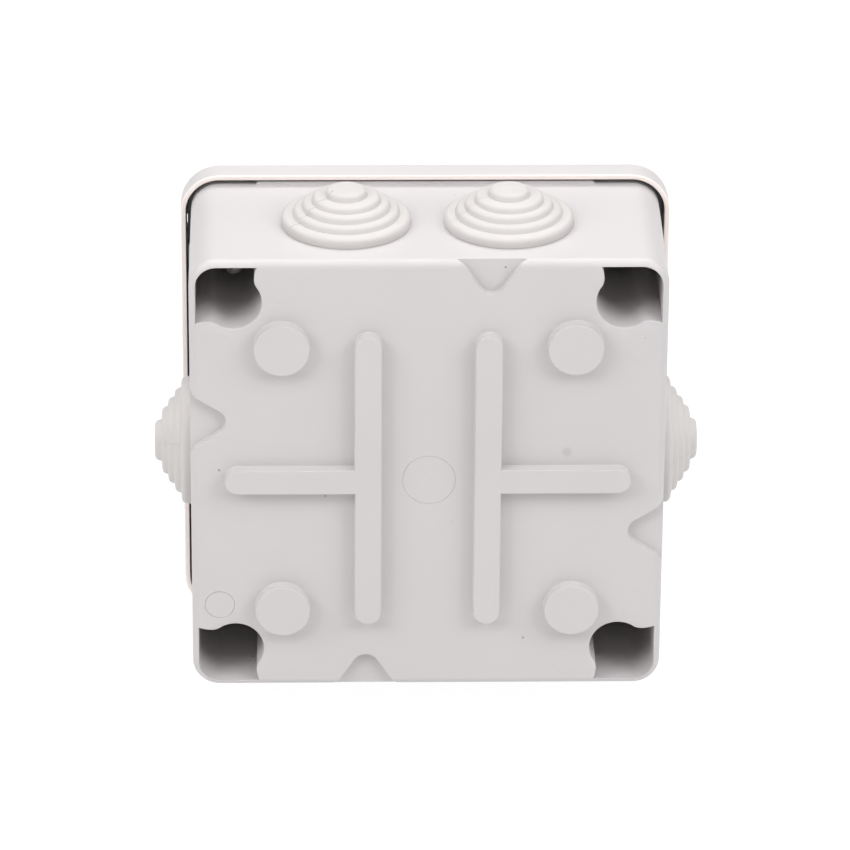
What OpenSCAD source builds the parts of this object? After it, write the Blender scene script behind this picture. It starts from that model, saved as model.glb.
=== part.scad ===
// Surface-mounted electrical junction box with six cable grommets.
// The box hangs on a wall as in use: +Z is up, +Y points into the wall,
// and the origin is the middle of the wall plane that the ribs and pads touch.
// Shapes are drawn with depth along z, from the wall to the lid's face, and stood up at the end.

/* [Lid] */
// Width and height of the lid
lid_w = 85; // [80:1:110]
// Radius of the lid's corners
lid_corner_r = 6.8; // [5:0.1:9]
// Radius that softens the front edge of the lid
lid_edge_r = 2; // [1:0.1:2.5]
// Depth of the skirt that hangs over the base
skirt_depth = 6.15; // [5.6:0.05:6.6]
// Thickness of the skirt
skirt_t = 0.85; // [0.7:0.05:1]
// Thickness of the lid's face
lid_t = 2; // [1.5:0.1:2.2]

/* [Base] */
// Distance from the wall plane to the lid's face
box_depth = 40; // [38:1:60]
// Gap between the base's side walls and the lid's outside
lid_overhang = 1.8; // [1.6:0.05:2.2]
// Radius of the base's upright corners
base_corner_r = 4.7; // [4:0.1:6]
// Radius that softens the rear edges
base_edge_r = 1.5; // [1:0.1:1.8]
// Thickness of the side walls
wall_t = 1.1; // [1:0.1:1.4]
// Thickness of the rear plate
plate_t = 2.2; // [2:0.1:3]
// Height of the ribs and pads that touch the wall
standoff = 2; // [1.5:0.1:3]
// Height of the rim above the lid screws' posts
rim_rise = 3.95; // [3.5:0.05:4]

/* [Wall fixing] */
// Distance between the fixing holes, both ways
fixing_pitch = 50; // [46:1:54]
// Radius of the pads behind the fixing holes
pad_r = 4.77; // [4:0.1:5]
// Radius of the blind fixing holes
fixing_r = 2.1; // [1.8:0.05:2.4]
// Skin left in each pad, to drill or pierce
fixing_skin = 1.2; // [0.8:0.1:1.8]

/* [Cable entries] */
// Distance between the two entries of the top and of the bottom
entry_pitch = 27.8; // [26:0.2:29]
// Distance of every entry's middle from the wall plane
entry_depth = 18.2; // [17:0.1:19]
// How far the two side entries sit below the middle
side_entry_drop = 0.7; // [0:0.1:2]
// Radius of the hole in the wall
entry_r = 9.7; // [9.5:0.05:9.8]
// Radii of the grommet's flange and of its steps
step_r = [11.1, 9.1, 7.55, 5.9, 3.5];
// Height of the flange and of each step above the wall
step_top = [1.85, 3, 4.15, 5.25, 6.4];

/* [Lid screws] */
// Distance from the middle to each screw's axis, both ways
screw_at = 33.2; // [32:0.1:34]
// Radius over the screw's thread
screw_r = 1.45; // [1.3:0.05:1.5]
// Length of the screw under its head
screw_length = 19; // [16:1:22]
// How far each turn moves the screw
screw_pitch = 1.1; // [1:0.1:1.3]
// Turns by which the top left screw stands loose
loose_turns = 3.5; // [0:0.5:6]

/* [Hidden] */
$fn = 96;

shell_grey = [0.84, 0.83, 0.83];
rubber_grey = [0.88, 0.87, 0.87];
gasket_grey = [0.45, 0.46, 0.47];
zinc = [0.76, 0.76, 0.78];

lap = 0.5;                 // how far joined shapes run into each other
gap = 0.05;                // working gap between parts that rest on each other
lid_half = lid_w / 2;
skirt_z = box_depth - skirt_depth;
lid_inner_z = box_depth - lid_t;
base_half = lid_half - lid_overhang;
cavity_half = base_half - wall_t;
cavity_corner_r = base_corner_r - wall_t;
floor_z = standoff + plate_t;

// Lid screws: the lid's well, its floor, the seal and the post below it
post_top = box_depth - 7.75;
rim_z = post_top + rim_rise;
well_floor_t = 1.2;
seat_z = post_top + gap + well_floor_t;
well_r = 3.5;
well_wall = 1.1;
seal_t = 1;
seal_r = 2.9;
head_r = 2.8;
head_h = 1.65;
head_z = seat_z + seal_t;
shank_hole_r = screw_r + 0.1;
post_plate_z = post_top - 1.5;
post_boss_r = 3;
post_boss_length = 6.75;

// Corner pockets, open at the rear
lobe_r = 4.85;
pocket_wall = 1.4;
neck = [26.9, 37.34];      // centre of the rounded nose beside each lobe
neck_r = 2.71;
neck_root_r = 6.1;

// Bell-shaped recess beside each entry
bell_at = 10.6;
bell_depth = 1.3;
bell_tip_r = 2.4;
bell_tip_y = base_half - 3.74;
bell_slope = 33;
bell_flare_r = 3;
bell_side = [cos(bell_slope), -sin(bell_slope)];

// Rear ribs
rib_w = 4.6;
rib_at = 10.27;
rib_half_length = 27.65;
cross_rib_end = 34.85;

// Inner lip of the lid and the seal that it holds
lip_gap = 0.8;
lip_t = 1.2;
lip_z = rim_z - 1.6;
gasket_clear = 0.3;
gasket_in = 0.4;

// Rest lips along the middle of each side, under the skirt
rest_lip_half = 29.5;
rest_lip_out = 0.5;
rest_lip_z = skirt_z + 0.45;
rest_lip_h = 1.2;

// Drill-through bosses inside
fixing_boss_r = 4.2;
fixing_boss_z = 8;

// Slot to lever the lid off
pry_slot = [0.7, 2.4];
pry_at = [lid_half - 1.35, 32.4];

module stand() {
    rotate([90, 0, 0]) children();
}

module four_ways() {
    for (turn = [0:90:270]) rotate(turn) children();
}

module four_corners(at) {
    for (x = [-1, 1], y = [-1, 1]) translate([x * at, y * at, 0]) children();
}

module rounded_square(half, corner_r) {
    square([2 * half, 2 * (half - corner_r)], center = true);
    square([2 * (half - corner_r), 2 * half], center = true);
    four_corners(half - corner_r) circle(r = corner_r);
}

// Slab with its top edge rounded
module soft_slab(half, corner_r, edge_r, h) {
    linear_extrude(h - edge_r) rounded_square(half, corner_r);
    linear_extrude(h) rounded_square(half - edge_r, corner_r - edge_r);
    four_ways() translate([half - edge_r, 0, h - edge_r]) rotate([90, 0, 0])
        cylinder(r = edge_r, h = 2 * (half - corner_r), center = true);
    translate([0, 0, h - edge_r]) four_corners(half - corner_r)
        rotate_extrude() translate([corner_r - edge_r, 0]) circle(r = edge_r);
}

// The nose that narrows a corner pocket before it reaches the side wall
module pocket_nose() {
    translate(neck) circle(r = neck_r);
    intersection() {
        translate([neck.x + neck_r - neck_root_r, neck.y]) circle(r = neck_root_r);
        translate([neck.x - neck_r, neck.y]) square([3 * neck_r, neck_root_r]);
    }
}

module pocket_outline() {
    intersection() {
        rounded_square(cavity_half, cavity_corner_r);
        difference() {
            union() {
                translate([screw_at, screw_at]) circle(r = lobe_r);
                polygon([
                    [screw_at, screw_at], neck, [neck.x, base_half],
                    [base_half, base_half], [base_half, neck.x], [neck.y, neck.x]
                ]);
            }
            pocket_nose();
            mirror([1, -1, 0]) pocket_nose();
        }
    }
}

// Solid corner around a pocket, as seen from inside the box
module corner_outline() {
    near = neck.x + neck_r - pocket_wall;
    translate([screw_at, screw_at]) circle(r = lobe_r + pocket_wall);
    translate([near, screw_at]) square([base_half - near, base_half - screw_at]);
    translate([screw_at, near]) square([base_half - screw_at, base_half - near]);
}

// Bell seen from its tip, with its mouth on the side wall
module bell_outline() {
    side_end = bell_flare_r + (base_half - bell_flare_r - bell_tip_y);
    root = bell_tip_r * bell_side;
    run = (side_end - bell_flare_r * bell_side.x - root.y - bell_flare_r * (1 + bell_side.y))
        / bell_side.x + bell_flare_r;
    rise = root + run * [-bell_side.y, bell_side.x];
    flare = rise + bell_flare_r * bell_side;
    translate([0, bell_tip_y]) difference() {
        union() {
            circle(r = bell_tip_r);
            polygon([
                root, rise, flare, [flare.x, base_half],
                [-flare.x, base_half], [-flare.x, flare.y], [-rise.x, rise.y], [-root.x, root.y]
            ]);
        }
        translate(flare) circle(r = bell_flare_r);
        translate([-flare.x, flare.y]) circle(r = bell_flare_r);
    }
}

module rib(from, to) {
    along = to - from;
    angle = atan2(along.y, along.x);
    translate(from) rotate(angle) {
        circle(d = rib_w);
        translate([0, -rib_w / 2]) square([norm(along), rib_w]);
        translate([norm(along), 0]) circle(d = rib_w);
    }
}

module rear_ribs() {
    end = rib_half_length - rib_w / 2;
    for (side = [-1, 1]) {
        rib([side * rib_at, -end], [side * rib_at, end]);
        rib([side * rib_at, 0], [side * (cross_rib_end - rib_w / 2), 0]);
    }
}

// Places a shape drawn on +z at an entry: turn 0 is the top, then clockwise as seen from the lid
module at_entry(turn, along) {
    rotate(-turn) translate([along, base_half, entry_depth]) rotate([-90, 0, 0]) children();
}

module at_all_entries() {
    for (turn = [0, 180], side = [-1, 1]) at_entry(turn, side * entry_pitch / 2) children();
    at_entry(90, side_entry_drop) children();
    at_entry(270, -side_entry_drop) children();
}

module base() {
    color(shell_grey) stand() difference() {
        union() {
            difference() {
                translate([0, 0, rim_z]) mirror([0, 0, 1])
                    soft_slab(base_half, base_corner_r, base_edge_r, rim_z - standoff);
                translate([0, 0, floor_z]) linear_extrude(post_top - floor_z) difference() {
                    rounded_square(cavity_half, cavity_corner_r);
                    four_ways() corner_outline();
                }
                translate([0, 0, post_top]) linear_extrude(rim_z)
                    rounded_square(cavity_half, cavity_corner_r);
            }
            linear_extrude(standoff + lap) rear_ribs();
            four_corners(fixing_pitch / 2) {
                cylinder(r = pad_r, h = standoff + lap);
                translate([0, 0, floor_z - lap])
                    cylinder(r = fixing_boss_r, h = fixing_boss_z - floor_z + lap);
            }
            translate([0, 0, rest_lip_z]) linear_extrude(rest_lip_h) four_ways() polygon([
                [-rest_lip_half, base_half - lap], [-rest_lip_half, base_half],
                [rest_lip_out - rest_lip_half, base_half + rest_lip_out],
                [rest_lip_half - rest_lip_out, base_half + rest_lip_out],
                [rest_lip_half, base_half], [rest_lip_half, base_half - lap]
            ]);
        }
        difference() {
            linear_extrude(post_plate_z) four_ways() pocket_outline();
            four_corners(screw_at) translate([0, 0, post_plate_z - post_boss_length])
                cylinder(r = post_boss_r, h = box_depth);
        }
        four_corners(screw_at) cylinder(r = shank_hole_r, h = box_depth);
        translate([0, 0, fixing_skin]) four_corners(fixing_pitch / 2)
            cylinder(r = fixing_r, h = box_depth);
        at_all_entries() translate([0, 0, -2 * wall_t]) cylinder(r = entry_r, h = 4 * wall_t);
        four_ways() translate([-bell_at, 0, standoff - lap]) linear_extrude(bell_depth + lap)
            bell_outline();
    }
}

module lid() {
    color(shell_grey) stand() difference() {
        union() {
            difference() {
                translate([0, 0, skirt_z]) soft_slab(lid_half, lid_corner_r, lid_edge_r, skirt_depth);
                linear_extrude(lid_inner_z)
                    rounded_square(lid_half - skirt_t, lid_corner_r - skirt_t);
            }
            translate([0, 0, lip_z]) linear_extrude(lid_inner_z + lap - lip_z) difference() {
                rounded_square(cavity_half - lip_gap, cavity_corner_r - lip_gap);
                rounded_square(cavity_half - lip_gap - lip_t, cavity_corner_r - lip_gap - lip_t);
            }
            four_corners(screw_at) translate([0, 0, post_top + gap])
                cylinder(r = well_r + well_wall, h = lid_inner_z + lap - post_top - gap);
        }
        four_corners(screw_at) {
            translate([0, 0, seat_z]) cylinder(r = well_r, h = box_depth);
            cylinder(r = screw_r + 0.35, h = box_depth);
        }
        translate([pry_at.x, pry_at.y, box_depth])
            cube([pry_slot.x, pry_slot.y, 3 * lid_t], center = true);
    }
}

module lid_gasket() {
    color(gasket_grey) stand() translate([0, 0, rim_z + 2 * gap])
        linear_extrude(lid_inner_z - rim_z - 2 * gap) difference() {
            rounded_square(lid_half - skirt_t - gasket_clear, lid_corner_r - skirt_t - gasket_clear);
            rounded_square(cavity_half - gasket_in, cavity_corner_r - gasket_in);
        }
}

// Places a screw or its seal at a corner as seen from the lid
module at_screw(side, level, turns) {
    stand() translate([side * screw_at, level * screw_at, turns * screw_pitch]) children();
}

module screw_shape() {
    color(zinc) difference() {
        union() {
            translate([0, 0, head_z - screw_length]) cylinder(r = screw_r, h = screw_length + lap);
            translate([0, 0, head_z]) cylinder(r = head_r, h = head_h);
        }
        translate([0, 0, head_z + head_h]) for (turn = [0, 90]) rotate(turn)
            cube([3.4, 0.7, 2.2], center = true);
    }
}

module screw_seal_shape() {
    color(gasket_grey) translate([0, 0, seat_z + gap / 2]) difference() {
        cylinder(r = seal_r, h = seal_t - gap);
        cylinder(r = screw_r + 0.1, h = 3 * seal_t, center = true);
    }
}

// Stepped cone in one piece with the flanges that grip the wall
module grommet_shape() {
    skin = 1.1;
    flange_in = 1.2;
    flange_in_r = 10.9;
    last = len(step_r) - 1;
    stairs_up = [for (i = [0:last]) each [
        [step_r[i], i == 0 ? 0 : step_top[i - 1]],
        [step_r[i], step_top[i]]
    ]];
    stairs_down = [for (i = [last:-1:1]) each [
        [step_r[i] - skin, step_top[i] - skin],
        [step_r[i] - skin, i == 1 ? -wall_t - flange_in : step_top[i - 1] - skin]
    ]];
    color(rubber_grey) rotate_extrude() polygon([
        each stairs_up,
        [0, step_top[last]],
        [0, step_top[last] - skin],
        each stairs_down,
        [flange_in_r, -wall_t - flange_in],
        [flange_in_r, -wall_t],
        [entry_r, -wall_t],
        [entry_r, 0]
    ]);
}

module screw_top_left() { at_screw(-1, 1, loose_turns) screw_shape(); }
module screw_top_right() { at_screw(1, 1, 0) screw_shape(); }
module screw_bottom_left() { at_screw(-1, -1, 0) screw_shape(); }
module screw_bottom_right() { at_screw(1, -1, 0) screw_shape(); }

module screw_seal_top_left() { at_screw(-1, 1, loose_turns) screw_seal_shape(); }
module screw_seal_top_right() { at_screw(1, 1, 0) screw_seal_shape(); }
module screw_seal_bottom_left() { at_screw(-1, -1, 0) screw_seal_shape(); }
module screw_seal_bottom_right() { at_screw(1, -1, 0) screw_seal_shape(); }

module grommet_top_left() { stand() at_entry(0, -entry_pitch / 2) grommet_shape(); }
module grommet_top_right() { stand() at_entry(0, entry_pitch / 2) grommet_shape(); }
module grommet_bottom_left() { stand() at_entry(180, entry_pitch / 2) grommet_shape(); }
module grommet_bottom_right() { stand() at_entry(180, -entry_pitch / 2) grommet_shape(); }
module grommet_left() { stand() at_entry(270, -side_entry_drop) grommet_shape(); }
module grommet_right() { stand() at_entry(90, side_entry_drop) grommet_shape(); }

base();
lid();
lid_gasket();
screw_top_left();
screw_top_right();
screw_bottom_left();
screw_bottom_right();
screw_seal_top_left();
screw_seal_top_right();
screw_seal_bottom_left();
screw_seal_bottom_right();
grommet_top_left();
grommet_top_right();
grommet_bottom_left();
grommet_bottom_right();
grommet_left();
grommet_right();
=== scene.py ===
import math

import bmesh
import bpy
from mathutils import Matrix, Vector


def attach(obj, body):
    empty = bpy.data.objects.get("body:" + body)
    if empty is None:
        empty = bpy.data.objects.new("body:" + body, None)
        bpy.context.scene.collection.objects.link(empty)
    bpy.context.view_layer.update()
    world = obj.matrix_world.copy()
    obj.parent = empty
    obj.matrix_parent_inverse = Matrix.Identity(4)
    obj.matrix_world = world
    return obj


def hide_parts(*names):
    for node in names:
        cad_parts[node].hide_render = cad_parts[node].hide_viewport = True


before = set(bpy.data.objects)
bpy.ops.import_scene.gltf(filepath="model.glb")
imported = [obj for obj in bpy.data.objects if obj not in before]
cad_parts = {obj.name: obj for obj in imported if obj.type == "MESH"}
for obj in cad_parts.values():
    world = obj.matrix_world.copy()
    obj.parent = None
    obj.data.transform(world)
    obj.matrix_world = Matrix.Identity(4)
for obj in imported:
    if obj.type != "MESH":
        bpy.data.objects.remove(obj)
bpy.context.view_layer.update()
mm = 0.001

# Shapes are drawn in millimetres as seen from the lid: x right, y up, z from the wall to the lid's face.
# standUp turns them into the frame, where the wall is at y = 0 and +Z is up.
standUp = Matrix(((mm, 0, 0, 0), (0, 0, -mm, 0), (0, mm, 0, 0), (0, 0, 0, 1)))


# Outlines are counter-clockwise lists of (x, y).

def arc(cx, cy, r, start, end, steps):
    points = []
    for i in range(steps + 1):
        a = math.radians(start + (end - start) * i / steps)
        points.append((cx + r * math.cos(a), cy + r * math.sin(a)))
    return points


def circle(cx, cy, r, steps=72):
    return arc(cx, cy, r, 0, 360, steps)[:-1]


def roundedSquare(half, cornerR, steps=14):
    points, c = [], half - cornerR
    for turn, (sx, sy) in enumerate(((1, 1), (-1, 1), (-1, -1), (1, -1))):
        points += arc(sx * c, sy * c, cornerR, 90 * turn, 90 * turn + 90, steps)
    return points


def turned(points, quarters):
    for _ in range(quarters % 4):
        points = [(-y, x) for x, y in points]
    return points


def moved(points, dx, dy):
    return [(x + dx, y + dy) for x, y in points]


def cleaned(points):
    kept = []
    for p in points:
        if not kept or math.dist(p, kept[-1]) > 1e-5:
            kept.append(p)
    if math.dist(kept[0], kept[-1]) < 1e-5:
        kept.pop()
    return kept


def offsetOutline(points, out):
    # moves every edge outwards, with mitred corners
    n, moves = len(points), []
    for i in range(n):
        a, b, c = points[i - 1], points[i], points[(i + 1) % n]
        e1, e2 = Vector((b[0] - a[0], b[1] - a[1])), Vector((c[0] - b[0], c[1] - b[1]))
        n1 = Vector((e1.y, -e1.x)).normalized()
        n2 = Vector((e2.y, -e2.x)).normalized()
        mitre = (n1 + n2) / max(1 + n1.dot(n2), 0.3)
        moves.append((b[0] + out * mitre.x, b[1] + out * mitre.y))
    return moves


# Solids are (vertices, faces). A profile is a list of (how far out of the outline, height).

def atHeight(z, profile):
    # the profile with its heights counted from z
    return [(out, z + up) for out, up in profile]


def fourCorners(at):
    return [(x, y) for x in (-at, at) for y in (-at, at)]


def newMesh(name, verts, faces):
    mesh = bpy.data.meshes.new(name)
    mesh.from_pydata(verts, [], faces)
    mesh.validate()
    return mesh


def loft(outline, profile):
    # a closed solid with a flat end at the profile's first and last height
    outline = cleaned(outline)
    n, verts, faces = len(outline), [], []
    for out, z in profile:
        verts += [(x, y, z) for x, y in offsetOutline(outline, out)]
    for k in range(len(profile) - 1):
        for i in range(n):
            j = (i + 1) % n
            faces.append((k * n + i, k * n + j, k * n + n + j, k * n + n + i))
    faces.append(tuple(reversed(range(n))))
    faces.append(tuple(range((len(profile) - 1) * n, len(profile) * n)))
    if profile[-1][1] < profile[0][1]:
        faces = [tuple(reversed(f)) for f in faces]
    return verts, faces


def ringLoft(outline, profile):
    # the same with a closed profile, for rings
    outline = cleaned(outline)
    n, rows, verts, faces = len(outline), len(profile), [], []
    for out, z in profile:
        verts += [(x, y, z) for x, y in offsetOutline(outline, out)]
    for row in range(rows):
        here, above = row * n, (row + 1) % rows * n
        for i in range(n):
            j = (i + 1) % n
            faces.append((here + i, here + j, above + j, above + i))
    return verts, faces


def together(name, solids):
    verts, faces = [], []
    for v, f in solids:
        faces += [tuple(i + len(verts) for i in face) for face in f]
        verts += v
    mesh = newMesh(name, verts, faces)
    bm = bmesh.new()
    bm.from_mesh(mesh)
    bmesh.ops.recalc_face_normals(bm, faces=bm.faces)
    bm.to_mesh(mesh)
    bm.free()
    return mesh


def softEnd(zEnd, zIn, r, steps=5, reach=0.0):
    # rounded end of a solid: from the full outline at zIn to the end face at zEnd
    way = 1 if zEnd > zIn else -1
    points = []
    for i in range(steps + 1):
        a = math.radians(90 * i / steps)
        points.append((-r + r * math.cos(a) + reach, zEnd - way * (r - r * math.sin(a))))
    return points


def flare(zFace, way, r, steps=5, over=0.02):
    # root fillet or rounded lip: the outline opens by r as it comes to the face, then runs just past it
    points, past = [], 0.03
    for i in range(steps + 1):
        a = math.radians(90 * i / steps)
        points.append((r - r * math.cos(a), zFace - way * (r - r * math.sin(a))))
    points[-1] = (r + past, zFace + way * over)
    return points


def placed(name, data):
    thing = bpy.data.objects.new(name, data)
    bpy.context.scene.collection.objects.link(thing)
    return thing


def resultOf(thing):
    # what its modifiers make of it, as a plain mesh
    graph = bpy.context.evaluated_depsgraph_get()
    return bpy.data.meshes.new_from_object(thing.evaluated_get(graph), depsgraph=graph)


def combine(name, first, *steps):
    # steps are (operation, mesh); each mesh's shells don't touch one another
    work = placed(name, first)
    for operation, mesh in steps:
        tool = placed(name + "Tool", mesh)
        modifier = work.modifiers.new("join", "BOOLEAN")
        modifier.operation = operation
        modifier.solver = "MANIFOLD"
        modifier.object = tool
        result = resultOf(work)
        work.modifiers.clear()
        work.data = result
        bpy.data.objects.remove(tool)
    mesh = work.data
    bpy.data.objects.remove(work)
    return mesh


def finishPiece(name, mesh, body, node, material, sharpAngle=38):
    # stands the mesh in the frame, shades it smooth with weighted normals and hands it to its body
    mergeDistance, normalWeight = 0.0004, 80
    mesh.name = name
    bm = bmesh.new()
    bm.from_mesh(mesh)
    bmesh.ops.remove_doubles(bm, verts=bm.verts, dist=mergeDistance)
    bmesh.ops.dissolve_degenerate(bm, edges=bm.edges, dist=mergeDistance)
    bmesh.ops.triangulate(bm, faces=bm.faces)
    for face in bm.faces:
        face.smooth = True
    for edge in bm.edges:
        if len(edge.link_faces) == 2:
            edge.smooth = edge.calc_face_angle(0) < math.radians(sharpAngle)
    bm.to_mesh(mesh)
    bm.free()
    mesh.transform(standUp)
    mesh.materials.clear()
    mesh.materials.append(material)
    piece = placed(name, mesh)
    weighted = piece.modifiers.new("normals", "WEIGHTED_NORMAL")
    weighted.keep_sharp = True
    weighted.weight = normalWeight
    done = resultOf(piece)
    piece.modifiers.clear()
    piece.data = done
    done.name = name
    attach(piece, body)
    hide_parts(node)
    print(name, len(done.polygons), "faces")


# Materials read Object coordinates, in metres, so their patterns stay put on their pieces.

def newMaterial(name):
    material = bpy.data.materials.new(name)
    material.use_nodes = True
    nodes, links = material.node_tree.nodes, material.node_tree.links
    shader = nodes["Principled BSDF"]
    coords = nodes.new("ShaderNodeTexCoord")
    return material, nodes, links, shader, coords.outputs["Object"]


def addNoise(nodes, links, vector, scale, detail=2.0, roughness=0.5, squash=None):
    if squash:
        mapping = nodes.new("ShaderNodeMapping")
        mapping.inputs["Scale"].default_value = squash
        links.new(vector, mapping.inputs["Vector"])
        vector = mapping.outputs["Vector"]
    noise = nodes.new("ShaderNodeTexNoise")
    noise.inputs["Scale"].default_value = scale
    noise.inputs["Detail"].default_value = detail
    noise.inputs["Roughness"].default_value = roughness
    links.new(vector, noise.inputs["Vector"])
    return noise.outputs["Fac"]


def addRamp(nodes, links, value, stops):
    ramp = nodes.new("ShaderNodeValToRGB")
    ramp.color_ramp.elements[0].position, ramp.color_ramp.elements[0].color = stops[0]
    ramp.color_ramp.elements[1].position, ramp.color_ramp.elements[1].color = stops[-1]
    for position, color in stops[1:-1]:
        ramp.color_ramp.elements.new(position).color = color
    links.new(value, ramp.inputs["Fac"])
    return ramp.outputs["Color"]


def addMix(nodes, links, blend, factor, first, second):
    # factor and second are each a fixed value or another node's output
    mix = nodes.new("ShaderNodeMix")
    mix.data_type = "RGBA"
    mix.blend_type = blend
    links.new(first, mix.inputs[6])
    for socket, value in ((mix.inputs["Factor"], factor), (mix.inputs[7], second)):
        if isinstance(value, (float, tuple)):
            socket.default_value = value
        else:
            links.new(value, socket)
    return mix.outputs[2]


def addRange(nodes, links, value, low, high):
    mapRange = nodes.new("ShaderNodeMapRange")
    mapRange.inputs["To Min"].default_value = low
    mapRange.inputs["To Max"].default_value = high
    links.new(value, mapRange.inputs["Value"])
    return mapRange.outputs["Result"]


def addBump(nodes, links, height, strength, distance, under=None):
    bump = nodes.new("ShaderNodeBump")
    bump.inputs["Strength"].default_value = strength
    bump.inputs["Distance"].default_value = distance
    links.new(height, bump.inputs["Height"])
    if under:
        links.new(under, bump.inputs["Normal"])
    return bump.outputs["Normal"]


def grey(value):
    return (value, value, value, 1)


def tinted(tone, *factors):
    # the tone with each channel times its own factor, or all times one
    return tuple(c * f for c, f in zip(tone, factors * 3 if len(factors) == 1 else factors)) + (1,)


plasticLook = {
    "drift": (28, 3, 0.6), "cellScale": 260, "speckR": (0.045, 0.07),
    "maskScale": 90, "speckFrom": (0.63, 0.65), "fine": (2600, 3, 0.6), "fineDepth": 0.00004,
    "flow": (160, 2, 0.5), "flowBump": (0.12, 0.00008), "sheen": (420, 2),
    "roughness": (0.42, 0.52), "ior": 1.46,
}
rubberLook = {
    "cloud": (120, 4, 0.6), "scuff": (900, 2, 0.5, (1, 1, 0.25)), "scuffFrom": (0.7, 0.78),
    "scuffShare": 0.25, "fine": (1900, 3, 0.65), "bump": (0.14, 0.00005), "roughness": (0.56, 0.68),
    "ior": 1.5,
}
foamLook = {
    "cellScale": 3200, "poreR": 0.35, "bump": (0.5, 0.00012), "sheenScale": 300, "roughness": (0.78, 0.9),
}
zincLook = {
    "cloud": (700, 3, 0.6), "drawn": (4200, 2, 0.6, (1, 0.08, 1)), "bump": (0.18, 0.00003),
    "roughness": (0.34, 0.5),
}


def mouldedPlastic(name, tone, look, speck=0.55, grain=0.05):
    # satin moulded plastic: slow drift of tone, fine grain, and a few dark specks in the pellets
    material, nodes, links, shader, vector = newMaterial(name)
    drift = addNoise(nodes, links, vector, *look["drift"])
    base = addRamp(nodes, links, drift, [(0.3, tinted(tone, 0.975, 0.975, 0.977)), (0.5, tinted(tone, 1)),
                                         (0.7, tinted(tone, 1.015, 1.015, 1.012))])
    cells = nodes.new("ShaderNodeTexVoronoi")
    cells.inputs["Scale"].default_value = look["cellScale"]
    links.new(vector, cells.inputs["Vector"])
    full, gone = look["speckR"]
    dots = addRamp(nodes, links, cells.outputs["Distance"],
                   [(0.0, grey(1)), (full, grey(1)), (gone, grey(0))])
    mask = addNoise(nodes, links, vector, look["maskScale"], 0)
    none, some = look["speckFrom"]
    chosen = addRamp(nodes, links, mask, [(0.0, grey(0)), (none, grey(0)), (some, grey(1))])
    specks = addMix(nodes, links, "MULTIPLY", 1.0, dots, chosen)
    color = addMix(nodes, links, "MIX", specks, base, tinted(tone, speck, speck * 0.97, speck * 0.93))
    links.new(color, shader.inputs["Base Color"])
    fine = addNoise(nodes, links, vector, *look["fine"])
    flow = addNoise(nodes, links, vector, *look["flow"])
    bumped = addBump(nodes, links, flow, *look["flowBump"])
    bumped = addBump(nodes, links, fine, grain, look["fineDepth"], bumped)
    links.new(bumped, shader.inputs["Normal"])
    sheen = addNoise(nodes, links, vector, *look["sheen"])
    links.new(addRange(nodes, links, sheen, *look["roughness"]), shader.inputs["Roughness"])
    shader.inputs["IOR"].default_value = look["ior"]
    return material


def addBlot(material, place, radius, depth):
    # one soft grey blot in the moulding
    nodes, links = material.node_tree.nodes, material.node_tree.links
    shader, coords = nodes["Principled BSDF"], nodes["Texture Coordinate"]
    away = nodes.new("ShaderNodeVectorMath")
    away.operation = "DISTANCE"
    away.inputs[1].default_value = place
    links.new(coords.outputs["Object"], away.inputs[0])
    fade, core = nodes.new("ShaderNodeMapRange"), 0.3
    fade.interpolation_type = "SMOOTHSTEP"
    fade.inputs["From Min"].default_value, fade.inputs["From Max"].default_value = radius * core, radius
    fade.inputs["To Min"].default_value, fade.inputs["To Max"].default_value = depth, 1.0
    links.new(away.outputs["Value"], fade.inputs["Value"])
    before = shader.inputs["Base Color"].links[0].from_socket
    links.new(addMix(nodes, links, "MULTIPLY", 1.0, before, fade.outputs["Result"]),
              shader.inputs["Base Color"])


def paintedWarmLight(material, low, high, tint):
    # painted warm light: a warm tint over one band of depth, on the thin edge, in place of warm light
    # falling there
    nodes, links = material.node_tree.nodes, material.node_tree.links
    shader, coords = nodes["Principled BSDF"], nodes["Texture Coordinate"]
    split = nodes.new("ShaderNodeSeparateXYZ")
    links.new(coords.outputs["Object"], split.inputs[0])
    band = nodes.new("ShaderNodeMapRange")
    band.inputs["From Min"].default_value, band.inputs["From Max"].default_value = low, high
    links.new(split.outputs["Y"], band.inputs["Value"])
    before = shader.inputs["Base Color"].links[0].from_socket
    links.new(addMix(nodes, links, "MIX", band.outputs["Result"], before, tinted(tint, 1)),
              shader.inputs["Base Color"])


def softRubber(name, tone, look):
    # thermoplastic rubber: dull, with faint lighter scuffs spread at random
    material, nodes, links, shader, vector = newMaterial(name)
    cloud = addNoise(nodes, links, vector, *look["cloud"])
    base = addRamp(nodes, links, cloud, [(0.3, tinted(tone, 0.965)), (0.72, tinted(tone, 1))])
    none, some = look["scuffFrom"]
    marks = addRamp(nodes, links, addNoise(nodes, links, vector, *look["scuff"]),
                    [(0.0, grey(0)), (none, grey(0)), (some, grey(look["scuffShare"]))])
    links.new(addMix(nodes, links, "MIX", marks, base, tinted(tone, 1.08)), shader.inputs["Base Color"])
    fine = addNoise(nodes, links, vector, *look["fine"])
    links.new(addBump(nodes, links, fine, *look["bump"]), shader.inputs["Normal"])
    links.new(addRange(nodes, links, cloud, *look["roughness"]), shader.inputs["Roughness"])
    shader.inputs["IOR"].default_value = look["ior"]
    return material


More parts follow.
